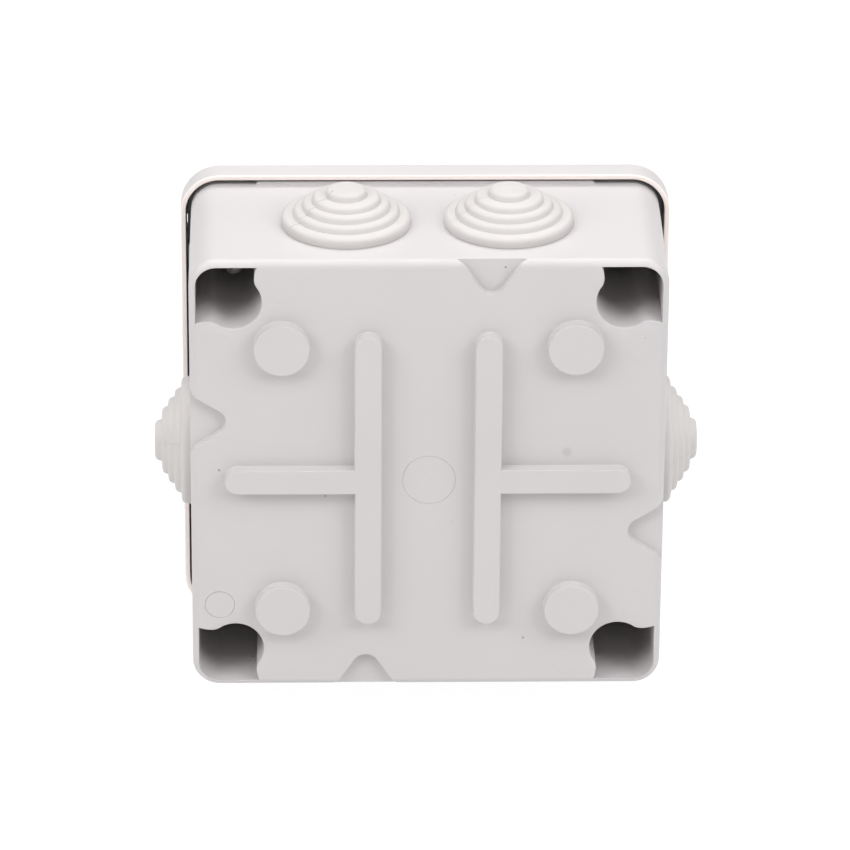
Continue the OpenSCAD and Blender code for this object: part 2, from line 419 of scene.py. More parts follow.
def closedFoam(name, tone, look):
    # fine-celled foam strip, with painted shade darkening each pore towards its centre
    material, nodes, links, shader, vector = newMaterial(name)
    cells = nodes.new("ShaderNodeTexVoronoi")
    cells.inputs["Scale"].default_value = look["cellScale"]
    links.new(vector, cells.inputs["Vector"])
    pores = cells.outputs["Distance"]
    # painted shade: the colour darkens where the bump sinks into each pore
    links.new(addRamp(nodes, links, pores, [(0.0, tinted(tone, 0.6)), (look["poreR"], tinted(tone, 1))]),
              shader.inputs["Base Color"])
    links.new(addBump(nodes, links, pores, *look["bump"]), shader.inputs["Normal"])
    sheen = addNoise(nodes, links, vector, look["sheenScale"])
    links.new(addRange(nodes, links, sheen, *look["roughness"]), shader.inputs["Roughness"])
    return material


def platedSteel(name, tone, look):
    # bright zinc plate with drawn marks along the wire and a faint warm cast
    material, nodes, links, shader, vector = newMaterial(name)
    cloud = addNoise(nodes, links, vector, *look["cloud"])
    links.new(addRamp(nodes, links, cloud, [(0.3, tinted(tone, 0.86, 0.85, 0.82)), (0.7, tinted(tone, 1))]),
              shader.inputs["Base Color"])
    drawn = addNoise(nodes, links, vector, *look["drawn"])
    links.new(addBump(nodes, links, drawn, *look["bump"]), shader.inputs["Normal"])
    links.new(addRange(nodes, links, cloud, *look["roughness"]), shader.inputs["Roughness"])
    shader.inputs["Metallic"].default_value = 1.0
    return material


shellPlastic = mouldedPlastic("shellPlastic", (0.58, 0.556, 0.559), plasticLook)
addBlot(shellPlastic, (-0.0238, -0.002, 0.0048), 0.0012, 0.86)
lidPlastic = mouldedPlastic("lidPlastic", (0.6, 0.577, 0.578), plasticLook, speck=0.6)
# painted warm light along the lid skirt's rear edge
paintedWarmLight(lidPlastic, -0.0342, -0.0340, (0.86, 0.78, 0.74))
grommetRubber = softRubber("grommetRubber", (0.59, 0.567, 0.557), rubberLook)
gasketFoam = closedFoam("gasketFoam", (0.16, 0.165, 0.17), foamLook)
screwZinc = platedSteel("screwZinc", (0.86, 0.83, 0.81), zincLook)
sealRubber = softRubber("sealRubber", (0.05, 0.05, 0.052), rubberLook)
print("materials ready")


# The base. Its rear plate faces the wall, with ribs and pads that stand on the wall itself at z = 0.
# Names in Foot, Edge, End and Mouth are short profiles that round off one end of a shape.
baseSize = {
    "half": 40.7, "cornerR": 4.7, "rearR": 1.5, "rearZ": 2.0, "rimZ": 36.2, "rimR": 0.25, "rimLip": 0.2,
    "cavityHalf": 39.6, "cavityR": 3.6, "cavityStep": 28.21, "floorZ": 4.2, "postTop": 32.25,
    "padAt": 25.0, "padR": 4.77, "edgeR": 0.2, "rootR": 0.12, "draft": 0.05,
    "ribHalfW": 2.3, "ribAt": 10.27, "ribEnd": 27.65, "crossEnd": 34.85,
    "bossR": 4.2, "bossTop": 8.0, "bossSoft": 0.35, "blindR": 2.1, "blindZ": 1.2,
    "screwAt": 33.2, "lobeR": 4.85, "lobeSpan": (146.7, 303.3), "pocketWall": 1.4, "plateZ": 30.75,
    "pocketLip": 0.22, "noseAt": (26.9, 37.34), "noseR": 2.71, "noseTurn": -33.3,
    "throatAt": (23.51, 37.34), "throatR": 6.1, "throatTurn": 21.72, "throatFoot": 29.163,
    "postBossR": 3.0, "postBossZ": 24.0, "postBossSoft": 0.4, "shankR": 1.55,
    "bellAt": -10.6, "bellTipY": 36.96, "bellTipR": 2.4, "bellSpread": 33.0, "bellDepth": 1.3,
    "bellMouth": (6.919, 0.740), "bellMouthR": 3.0, "bellReach": 5.0,
    "entryR": 9.7, "entryZ": 18.2, "entryAt": 13.9, "sideDrop": -0.7, "entryCut": (38.6, 41.6),
    "lipHalf": 29.5, "lipOut": 0.5, "lipSink": 0.4, "lipSoft": 0.1, "lipZ": (34.3, 35.5),
    "gateAt": (-0.2, -0.5), "gateR": 4.55, "gateDotR": 0.45, "gateMark": (0.09, 0.1),
    "pinR": 2.55, "pinAt": (35.9, 24.6), "deepMark": (0.11, 0.08), "faintMark": (0.025, 0.06),
    "markSink": -0.3,
    "floorFoot": [(-0.5, 0), (-0.35, 0.04), (-0.15, 0.15), (-0.04, 0.33), (0, 0.5)],
    "postEdge": [(0, -0.2), (0.03, -0.09), (0.1, -0.02), (0.22, 0.02)],
    "shelfFoot": [(-0.2, 0), (-0.06, 0.06), (0, 0.2)],
    "bossFoot": [(0.33, -0.05), (0.3, 0), (0.12, 0.05), (0.04, 0.14), (0, 0.3)],
    "pocketEnd": [(0, -0.4), (-0.12, -0.12), (-0.4, 0)],
    "shankFoot": [(0.25, -0.5), (0.25, 0.02), (0, 0.3)], "shankMouth": [(0, -0.4), (0.4, 0.02), (0.4, 1)],
    "blindFoot": [(-0.6, 0), (0, 0.35)], "blindMouth": [(0, -0.3), (0.3, 0.02), (0.3, 1)],
    "bellEdge": [(0.18, -1.0), (0.18, -0.02), (0.09, 0.01), (0.03, 0.05), (0.0, 0.14)],
    "bellEnd": [(-0.02, -0.18), (-0.06, -0.06), (-0.2, 0)],
    "gateDot": [(0.1, -0.3), (0.1, -0.01), (-0.1, 0.06)],
}


def ribOutline(side, s):
    # a long rib with one cross rib towards the side wall
    w, x, end, tip = s["ribHalfW"], s["ribAt"], s["ribEnd"] - s["ribHalfW"], s["crossEnd"] - s["ribHalfW"]
    points = arc(x, -end, w, 180, 360, 20) + [(x + w, -w)]
    points += [(tip, -w)] + arc(tip, 0, w, -90, 90, 20) + [(x + w, w)]
    points += arc(x, end, w, 0, 180, 20)
    return points if side > 0 else [(-px, py) for px, py in reversed(points)]


def pocketOutline(s):
    # pocket of the corner at +x, +y: a lobe around the screw, two noses, and the corner itself
    c, h, foot = s["screwAt"], s["cavityHalf"], s["throatFoot"]
    points = arc(h - s["cavityR"], h - s["cavityR"], s["cavityR"], 0, 90, 14)
    half = arc(*s["throatAt"], s["throatR"], s["throatTurn"], 0, 6)[1:]
    half += arc(*s["noseAt"], s["noseR"], 0, s["noseTurn"], 8)[1:]
    points += [(foot, h)] + half
    points += arc(c, c, s["lobeR"], *s["lobeSpan"], 60)[1:-1]
    points += [(y, x) for x, y in reversed(half)] + [(h, foot)]
    return points


def bellOutline(s):
    # tip on the origin, mouth past the side wall
    (mouthX, mouthY), spread = s["bellMouth"], s["bellSpread"]
    right = arc(mouthX, mouthY, s["bellMouthR"], 90, 180 - spread, 12)
    tip = arc(0, 0, s["bellTipR"], -spread, spread - 180, 22)
    left = [(-x, y) for x, y in reversed(right)]
    return list(reversed([(mouthX, s["bellReach"])] + right + tip + left + [(-mouthX, s["bellReach"])]))


def cavityOutline(s):
    # floor plan of the inside between the four corner posts
    near, c, r = s["cavityStep"], s["screwAt"], s["lobeR"] + s["pocketWall"]
    up = math.sqrt(r * r - (c - near) ** 2)
    start = math.degrees(math.atan2(up, near - c))
    corner = [(near, s["cavityHalf"])] + arc(c, c, r, start, 450 - start, 40) + [(s["cavityHalf"], near)]
    points = []
    for quarter in range(4):
        points += list(reversed(turned(corner, quarter)))
    return points


def sidePlace(quarters, along, out, up):
    # stands a shape drawn on z = 0 on the top side, then turns it to another side by quarter turns
    turn = Matrix.Rotation(math.radians(90 * quarters), 4, "Z")
    return turn @ Matrix.Translation((along, out, up)) @ Matrix.Rotation(math.radians(-90), 4, "X")


def markRing(x, y, r, rearZ, sink, deep, wide):
    # shallow groove left in the rear plate by a pin or the gate
    bendOut, bendUp = wide * 0.8, deep * 0.4
    return ringLoft(circle(x, y, r), atHeight(rearZ, [
        (wide, sink), (bendOut, bendUp), (0, deep), (-bendOut, bendUp), (-wide, sink)]))


def buildBase(s):
    rearZ, rimZ, postTop, plateZ = s["rearZ"], s["rimZ"], s["postTop"], s["plateZ"]
    # the outside, and what stands on it
    body = loft(roundedSquare(s["half"], s["cornerR"]),
                list(reversed(softEnd(rearZ, rearZ + s["rearR"], s["rearR"], 10)))
                + softEnd(rimZ, rimZ - s["rimR"], s["rimR"], 4))
    raised = list(reversed(softEnd(0, s["edgeR"], s["edgeR"], 5, -s["draft"])))
    raised += flare(rearZ, 1, s["rootR"], 5, 0.03)
    pads = [loft(circle(x, y, s["padR"]), raised) for x, y in fourCorners(s["padAt"])]
    ribs = [loft(ribOutline(side, s), raised) for side in (-1, 1)]
    side, long, out, soft = s["half"], s["lipHalf"], s["lipOut"], s["lipSoft"]
    lip = [(-long, side - s["lipSink"]), (long, side - s["lipSink"]), (long, side), (long - out, side + out),
           (out - long, side + out), (-long, side)]
    low, high = s["lipZ"]
    lipProfile = [(-soft, low), (0, low + soft), (0, high - soft), (-soft, high)]
    lips = [loft(turned(lip, q), lipProfile) for q in range(4)]
    # the inside
    lower = loft(cavityOutline(s), atHeight(s["floorZ"], s["floorFoot"]) + atHeight(postTop, s["postEdge"]))
    upper = loft(roundedSquare(s["cavityHalf"], s["cavityR"]),
                 atHeight(postTop, s["shelfFoot"]) + flare(rimZ, 1, s["rimLip"], 4) + [(0.23, rimZ + 2)])
    bosses = [loft(circle(x, y, s["bossR"]), atHeight(s["floorZ"], s["bossFoot"])
                   + softEnd(s["bossTop"], s["bossTop"] - s["bossSoft"], s["bossSoft"], 4))
              for x, y in fourCorners(s["padAt"])]
    # the corner pockets, with a boss for each screw under the pocket's roof
    pocket = [(s["pocketLip"] + 0.04, -1.0)] + list(reversed(flare(rearZ, -1, s["pocketLip"], 4)))
    pocket += atHeight(plateZ, s["pocketEnd"])
    pockets = [loft(turned(pocketOutline(s), q), pocket) for q in range(4)]
    bossZ, bossSoft = s["postBossZ"], s["postBossSoft"]
    bossProfile = list(reversed(softEnd(bossZ, bossZ + bossSoft, bossSoft, 4))) + [(0, plateZ + 0.3)]
    postBosses = [loft(circle(x, y, s["postBossR"], 48), bossProfile) for x, y in fourCorners(s["screwAt"])]
    # the holes
    shankProfile = atHeight(bossZ, s["shankFoot"]) + atHeight(postTop, s["shankMouth"])
    shanks = [loft(circle(x, y, s["shankR"], 40), shankProfile) for x, y in fourCorners(s["screwAt"])]
    blinds = [loft(circle(x, y, s["blindR"], 48),
                   atHeight(s["blindZ"], s["blindFoot"]) + atHeight(s["bossTop"], s["blindMouth"]))
              for x, y in fourCorners(s["padAt"])]
    entries = []
    for quarters, along in ((0, s["entryAt"]), (0, -s["entryAt"]), (2, s["entryAt"]), (2, -s["entryAt"]),
                            (1, s["sideDrop"]), (3, -s["sideDrop"])):
        verts, faces = loft(circle(0, 0, s["entryR"], 64), [(0, z) for z in s["entryCut"]])
        place = sidePlace(quarters, along, 0, s["entryZ"])
        entries.append(([tuple(place @ Vector(v)) for v in verts], faces))
    # the bell recesses at the rear plate's edges, and the mould's marks
    bellProfile = atHeight(rearZ, s["bellEdge"]) + atHeight(rearZ + s["bellDepth"], s["bellEnd"])
    bell = moved(bellOutline(s), s["bellAt"], s["bellTipY"])
    bells = [loft(turned(bell, q), bellProfile) for q in range(4)]
    marks = []
    far, close = s["pinAt"]
    for sideX, sideY in fourCorners(1):
        for x, y in ((sideX * far, sideY * close), (sideX * close, sideY * far)):
            mark = s["deepMark"] if x > -y > 0 else s["faintMark"]  # one of the eight stood a little proud
            marks.append(markRing(x, y, s["pinR"], rearZ, s["markSink"], *mark))
    marks.append(markRing(*s["gateAt"], s["gateR"], rearZ, s["markSink"], *s["gateMark"]))
    marks.append(loft(circle(*s["gateAt"], s["gateDotR"], 24), atHeight(rearZ, s["gateDot"])))
    return combine(
        "base", together("base", [body]),
        ("UNION", together("raised", pads + ribs)),
        ("UNION", together("lips", lips)),
        ("DIFFERENCE", together("lower", [lower])),
        ("DIFFERENCE", together("upper", [upper])),
        ("UNION", together("bosses", bosses)),
        ("DIFFERENCE", together("pockets", pockets)),
        ("UNION", together("postBosses", postBosses)),
        ("DIFFERENCE", together("holes", shanks + blinds + entries)),
        ("DIFFERENCE", together("bells", bells)),
        ("DIFFERENCE", together("marks", marks)),
    )


finishPiece("baseShell", buildBase(baseSize), "base", "base", shellPlastic)


# The lid: a flat plate with an overhanging skirt, an inner lip that locates it, and a well for each screw.
lidSize = {
    "half": 42.5, "cornerR": 6.8, "frontR": 2.0, "skirtZ": 33.85, "skirtSoft": 0.22, "faceZ": 40.0,
    "innerZ": 38.0, "skirtT": 0.85, "lipOuter": 38.8, "lipOuterR": 2.8, "lipT": 1.2, "lipZ": 34.6,
    "lipSoft": (0.3, 0.09),
    "screwAt": 33.2, "tubeR": 4.6, "tubeZ": 32.3, "tubeSoft": 0.25, "wellR": 3.5, "seatZ": 33.5,
    "holeR": 1.8, "sink": 0.4, "slotAt": (41.15, 32.4), "slot": (0.35, 1.2), "slotZ": (37, 41),
    "skirtMouth": [(0.16, -1), (0.16, -0.01), (0.04, 0.05), (0, 0.16)],
    "plateFoot": [(0, -0.5), (-0.15, -0.15), (-0.5, 0)],
    "seatFoot": [(-0.25, 0), (-0.07, 0.07), (0, 0.25)],
    "wellMouth": [(0, -0.3), (0.09, -0.09), (0.3, 0.01), (0.3, 1)],
}


def buildLid(s):
    skirtZ, skirtSoft, innerZ, faceZ = s["skirtZ"], s["skirtSoft"], s["innerZ"], s["faceZ"]
    body = loft(roundedSquare(s["half"], s["cornerR"], 20),
                list(reversed(softEnd(skirtZ, skirtZ + skirtSoft, skirtSoft, 4)))
                + softEnd(faceZ, faceZ - s["frontR"], s["frontR"], 10))
    hollow = loft(roundedSquare(s["half"] - s["skirtT"], s["cornerR"] - s["skirtT"], 20),
                  atHeight(skirtZ, s["skirtMouth"]) + atHeight(innerZ, s["plateFoot"]))
    t, lipZ, root, (soft, bend) = s["lipT"], s["lipZ"], innerZ + s["sink"], s["lipSoft"]
    ring = ringLoft(roundedSquare(s["lipOuter"], s["lipOuterR"]), [
        (0, root), (-t, root), (-t, lipZ + soft), (-t + bend, lipZ + bend), (-t + soft, lipZ),
        (-soft, lipZ), (-bend, lipZ + bend), (0, lipZ + soft)])
    corners = fourCorners(s["screwAt"])
    tubeEnd = list(reversed(softEnd(s["tubeZ"], s["tubeZ"] + s["tubeSoft"], s["tubeSoft"], 3)))
    tubes = [loft(circle(x, y, s["tubeR"], 64), tubeEnd + [(0, root)]) for x, y in corners]
    wellProfile = atHeight(s["seatZ"], s["seatFoot"]) + atHeight(faceZ, s["wellMouth"])
    wells = [loft(circle(x, y, s["wellR"], 64), wellProfile) for x, y in corners]
    through = [(0, s["tubeZ"] - 1), (0, s["seatZ"] + 0.5)]
    holes = [loft(circle(x, y, s["holeR"], 40), through) for x, y in corners]
    (cx, cy), (hx, hy) = s["slotAt"], s["slot"]
    slot = loft([(cx - hx, cy - hy), (cx + hx, cy - hy), (cx + hx, cy + hy), (cx - hx, cy + hy)],
                [(0, z) for z in s["slotZ"]])
    return combine(
        "lid", together("lid", [body]),
        ("DIFFERENCE", together("hollow", [hollow])),
        ("UNION", together("ring", [ring])),
        ("UNION", together("tubes", tubes)),
        ("DIFFERENCE", together("wells", wells)),
        ("DIFFERENCE", together("holes", holes)),
        ("DIFFERENCE", together("slot", [slot])),
    )


finishPiece("lidShell", buildLid(lidSize), "lid", "lid", lidPlastic)


# The gasket: a foam strip with rounded edges, in the channel between the lid's skirt and its lip.
gasketSize = {"half": 41.33, "cornerR": 5.63, "width": 2.12, "low": 36.31, "high": 37.99, "soft": 0.3}


def buildGasket(s):
    w, r, low, high = s["width"], s["soft"], s["low"], s["high"]
    profile = []
    for turn, (cx, cz) in enumerate(((-r, high - r), (-w + r, high - r), (-w + r, low + r), (-r, low + r))):
        profile += arc(cx, cz, r, 90 * turn, 90 * turn + 90, 3)
    return together("gasket", [ringLoft(roundedSquare(s["half"], s["cornerR"]), profile)])


finishPiece("lidGasket", buildGasket(gasketSize), "lid", "lid_gasket", gasketFoam)


# One tree turns the grommets, the seals and the screw heads, another winds the screw threads.

def inputSocket(tree, name, kind, value=None):
    socket = tree.interface.new_socket(name=name, in_out="INPUT", socket_type=kind)
    if value is not None:
        socket.default_value = value
    return socket


def mathKit(nodes, links):
    # gives a short way to add one math node, whose inputs are numbers or other nodes' outputs
    def m(operation, *values):
        node = nodes.new("ShaderNodeMath")
        node.operation = operation
        for socket, value in zip(node.inputs, values):
            if isinstance(value, (int, float)):
                socket.default_value = value
            else:
                links.new(value, socket)
        return node.outputs[0]

    return m


def latheTree():
    # the outline on the modifier's object, with its corners rounded by their own "soft", turned about Z
    tree = bpy.data.node_groups.new("lathe", "GeometryNodeTree")
    inputSocket(tree, "Outline", "NodeSocketGeometry")
    inputSocket(tree, "Segments", "NodeSocketInt", 96)
    inputSocket(tree, "Corner Steps", "NodeSocketInt", 4)
    inputSocket(tree, "Softness", "NodeSocketFloat", 1.0)
    inputSocket(tree, "Material", "NodeSocketMaterial")
    tree.interface.new_socket(name="Geometry", in_out="OUTPUT", socket_type="NodeSocketGeometry")
    nodes, links = tree.nodes, tree.links
    given, out = nodes.new("NodeGroupInput"), nodes.new("NodeGroupOutput")
    m = mathKit(nodes, links)
    curve = nodes.new("GeometryNodeMeshToCurve")
    links.new(given.outputs["Outline"], curve.inputs["Mesh"])
    soft = nodes.new("GeometryNodeInputNamedAttribute")
    soft.inputs["Name"].default_value = "soft"
    fillet = nodes.new("GeometryNodeFilletCurve")
    fillet.mode = "POLY"
    fillet.inputs["Limit Radius"].default_value = True
    links.new(curve.outputs["Curve"], fillet.inputs["Curve"])
    links.new(given.outputs["Corner Steps"], fillet.inputs["Count"])
    links.new(m("MULTIPLY", soft.outputs["Attribute"], given.outputs["Softness"]), fillet.inputs["Radius"])
    size = nodes.new("GeometryNodeAttributeDomainSize")
    size.component = "CURVE"
    links.new(fillet.outputs["Curve"], size.inputs["Geometry"])
    grid = nodes.new("GeometryNodeMeshGrid")
    links.new(m("ADD", given.outputs["Segments"], 1), grid.inputs["Vertices X"])
    links.new(size.outputs["Point Count"], grid.inputs["Vertices Y"])
    index = nodes.new("GeometryNodeInputIndex").outputs[0]
    across = m("MODULO", index, size.outputs["Point Count"])
    middle = m("ADD", index, 0.5)  # half a step in, so that rounding can't drop a row
    around = m("FLOOR", m("DIVIDE", middle, size.outputs["Point Count"]))
    sample = nodes.new("GeometryNodeSampleIndex")
    sample.data_type = "FLOAT_VECTOR"
    position = nodes.new("GeometryNodeInputPosition")
    links.new(fillet.outputs["Curve"], sample.inputs["Geometry"])
    links.new(position.outputs[0], sample.inputs["Value"])
    links.new(across, sample.inputs["Index"])
    split = nodes.new("ShaderNodeSeparateXYZ")
    links.new(sample.outputs["Value"], split.inputs[0])
    angle = m("DIVIDE", m("MULTIPLY", around, 2 * math.pi), given.outputs["Segments"])
    place = nodes.new("ShaderNodeCombineXYZ")
    for axis, turn in (("X", "COSINE"), ("Y", "SINE")):
        links.new(m("MULTIPLY", split.outputs["X"], m(turn, angle)), place.inputs[axis])
    links.new(split.outputs["Z"], place.inputs["Z"])
    setPlace = nodes.new("GeometryNodeSetPosition")
    links.new(grid.outputs["Mesh"], setPlace.inputs["Geometry"])
    links.new(place.outputs[0], setPlace.inputs["Position"])
    merge = nodes.new("GeometryNodeMergeByDistance")
    merge.inputs["Distance"].default_value = 0.001
    links.new(setPlace.outputs[0], merge.inputs["Geometry"])
    finishTree(nodes, links, merge.outputs[0], given.outputs["Material"], out)
    return tree


def finishTree(nodes, links, geometry, material, out):
    realize = nodes.new("GeometryNodeRealizeInstances")
    setMaterial = nodes.new("GeometryNodeSetMaterial")
    links.new(geometry, realize.inputs["Geometry"])
    links.new(realize.outputs[0], setMaterial.inputs["Geometry"])
    links.new(material, setMaterial.inputs["Material"])
    links.new(setMaterial.outputs[0], out.inputs[0])


def runTree(tree, startMesh, **values):
    # gives the tree's result as a plain mesh; values are the tree's inputs by name, spaces left out
    holder = placed("holder", startMesh)
    modifier = holder.modifiers.new("tree", "NODES")
    modifier.node_group = tree
    for item in tree.interface.items_tree:
        key = item.name.replace(" ", "")
        if item.in_out == "INPUT" and key in values:
            modifier[item.identifier] = values[key]
    mesh = resultOf(holder)
    bpy.data.objects.remove(holder)
    bm = bmesh.new()
    bm.from_mesh(mesh)
    bmesh.ops.remove_doubles(bm, verts=bm.verts, dist=0.0005)
    bmesh.ops.recalc_face_normals(bm, faces=bm.faces)
    bm.to_mesh(mesh)
    bm.free()
    return mesh


def outlineMesh(points, closed=False):
    # points are (r, z, soft)
    edges = [(i, i + 1) for i in range(len(points) - 1)] + ([(len(points) - 1, 0)] if closed else [])
    mesh = bpy.data.meshes.new("outline")
    mesh.from_pydata([(r, 0, z) for r, z, _ in points], edges, [])
    soft = mesh.attributes.new("soft", "FLOAT", "POINT")
    for item, (_, _, value) in zip(soft.data, points):
        item.value = value
    return mesh


lathe = latheTree()

# The grommets: five rubber steps each, one to cut off for each size of cable.
grommetSize = {
    "radii": [11.1, 9.15, 7.55, 5.9, 3.6], "tops": [1.85, 3.0, 4.15, 5.25, 6.4],
    "skin": 1.1, "skinSoft": (0.4, 0.3), "skinLean": 0.1, "wall": 1.1, "innerR": 10.9, "innerT": 1.2,
    "entryR": 9.7, "edge": (0.9, 0.8, 0.8, 0.8, 0.8), "root": 0.07, "gap": 0.08, "lean": 0.3,
    "fall": 0.12, "segments": 120, "softSteps": 4, "seamFrom": 0.6, "seamTo": 10.9,
}
# Quarter turns from the top side, the place along that side, and the flash lines as (angle, width, rise).
grommetPlaces = {
    "top_left": (0, -baseSize["entryAt"], [(18, 0.14, 0.05)]),
    "top_right": (0, baseSize["entryAt"], [(29, 0.26, 0.1)]),
    "bottom_left": (2, baseSize["entryAt"], [(75, 0.16, 0.05), (-105, 0.16, 0.05)]),
    "bottom_right": (2, -baseSize["entryAt"], [(60, 0.16, 0.05)]),
    "left": (1, baseSize["sideDrop"], [(90, 0.14, 0.05)]),
    "right": (3, -baseSize["sideDrop"], [(112, 0.2, 0.08), (-68, 0.2, 0.08)]),
}


def grommetOutline(s):
    # (radius, height, softness) points: steps lean inwards and fall a little towards their edges
    radii, tops, skin, wall = s["radii"], s["tops"], s["skin"], -s["wall"]
    points = [(s["entryR"], 0, 0.1), (radii[0], 0, 0.1)]
    for i, (r, top) in enumerate(zip(radii, tops)):
        points.append((r - s["lean"] * (i > 0), top - s["fall"] * (i + 1 < len(radii)), s["edge"][i]))
        if i + 1 < len(radii):
            points.append((radii[i + 1] + s["gap"], top, s["root"]))
    points += [(0, tops[-1], 0), (0, tops[-1] - skin, 0)]
    for i in range(len(radii) - 1, 0, -1):
        below = wall - s["innerT"] if i == 1 else tops[i - 1] - skin
        points.append((radii[i] - skin - s["skinLean"], tops[i] - skin, s["skinSoft"][0]))
        points.append((radii[i] - skin, below, s["skinSoft"][1]))
    return points + [(s["innerR"], wall - s["innerT"], 0.35), (s["innerR"], wall, 0.1),
                     (s["entryR"], wall, 0.05), (s["entryR"], 0, 0.1)]


def addSeam(mesh, angle, width, rise, low, high):
    # the flash line left by the mould: a fine fin that follows the steps from radius high in to radius low
    near0, flangeZ, foot, crestHalf = 1e-4, 0.02, 0.15, 0.22
    bm = bmesh.new()
    bm.from_mesh(mesh)
    line = {v.index: v for v in bm.verts if abs(v.co.y) < near0 and v.co.x > -near0 and v.co.z >= flangeZ}
    start = max(line.values(), key=lambda v: (round(v.co.x, 2), -v.co.z))
    order, at = [start.co.copy()], start
    seen = {start.index}
    while True:
        ends = [e.other_vert(at) for e in at.link_edges]
        ends = [v for v in ends if v.index in line and v.index not in seen]
        if not ends:
            break
        at = max(ends, key=lambda v: v.co.z)
        seen.add(at.index)
        order.append(at.co.copy())
    bm.free()
    order = [c for c in order if low <= c.x <= high]
    verts, faces = [], []
    turn = Matrix.Rotation(math.radians(angle), 4, "Z")
    for i, c in enumerate(order):
        along = (order[min(i + 1, len(order) - 1)] - order[max(i - 1, 0)]).normalized()
        out = Vector((along.z, 0, -along.x))
        if out.z < -0.2:
            out = -out
        for side, lift in ((-0.5, -foot), (0.5, -foot), (crestHalf, rise), (-crestHalf, rise)):
            verts.append(turn @ (c + out * lift + Vector((0, side * width, 0))))
    for i in range(len(order) - 1):
        for k in range(4):
            a, b = 4 * i + k, 4 * i + (k + 1) % 4
            faces.append((a, b, b + 4, a + 4))
    last = 4 * (len(order) - 1)
    faces += [(3, 2, 1, 0), (last, last + 1, last + 2, last + 3)]
    fin = bmesh.new()
    made = [fin.verts.new(v) for v in verts]
    for face in faces:
        fin.faces.new([made[i] for i in face])
    bmesh.ops.recalc_face_normals(fin, faces=fin.faces)
    finMesh = bpy.data.meshes.new("seam")
    fin.to_mesh(finMesh)
    fin.free()
    whole = bmesh.new()
    whole.from_mesh(mesh)
    whole.from_mesh(finMesh)
    whole.to_mesh(mesh)
    whole.free()


grommetShape = runTree(lathe, outlineMesh(grommetOutline(grommetSize)), Segments=grommetSize["segments"],
                       CornerSteps=grommetSize["softSteps"], Softness=1.0, Material=grommetRubber)
print("grommet shape", len(grommetShape.polygons), "faces")

for name, (quarters, along, seams) in grommetPlaces.items():
    mesh = grommetShape.copy()
    for angle, width, rise in seams:
        addSeam(mesh, angle, width, rise, grommetSize["seamFrom"], grommetSize["seamTo"])
    mesh.transform(sidePlace(quarters, along, baseSize["half"], baseSize["entryZ"]))
    finishPiece("grommet." + name, mesh, "base", "grommet_" + name, grommetRubber, 50)


# The lid screws, and the rubber ring under each head.
screwSize = {
    "at": 33.2, "headZ": 34.5, "headR": 2.8, "headH": 1.65, "neckIn": 0.9, "sink": -0.3, "rim": (0.05, 0.12),
    "side": (0.55, 0.5), "shoulder": (0.86, 0.82, 0.9), "crown": (0.45, 2.0),
    "crossW": 0.36, "crossHalf": 1.7, "crossDeep": 1.1, "rootR": 1.02, "threadR": 1.45, "pitch": 1.1,
    "length": 19.0, "pointLength": 1.3, "turns": 18, "segments": 28, "loose": 3.85,
    "sealLow": 33.53, "sealHigh": 34.47, "sealOut": 2.88, "sealIn": 1.56,
}
screwPlaces = {  # "out" is how far a screw is undone, "spin" the angle of its cross
    "top_left": {"side": (-1, 1), "out": screwSize["loose"], "spin": 38},
    "top_right": {"side": (1, 1), "out": 0, "spin": 12},
    "bottom_left": {"side": (-1, -1), "out": 0, "spin": 71},
    "bottom_right": {"side": (1, -1), "out": 0, "spin": 55},
}


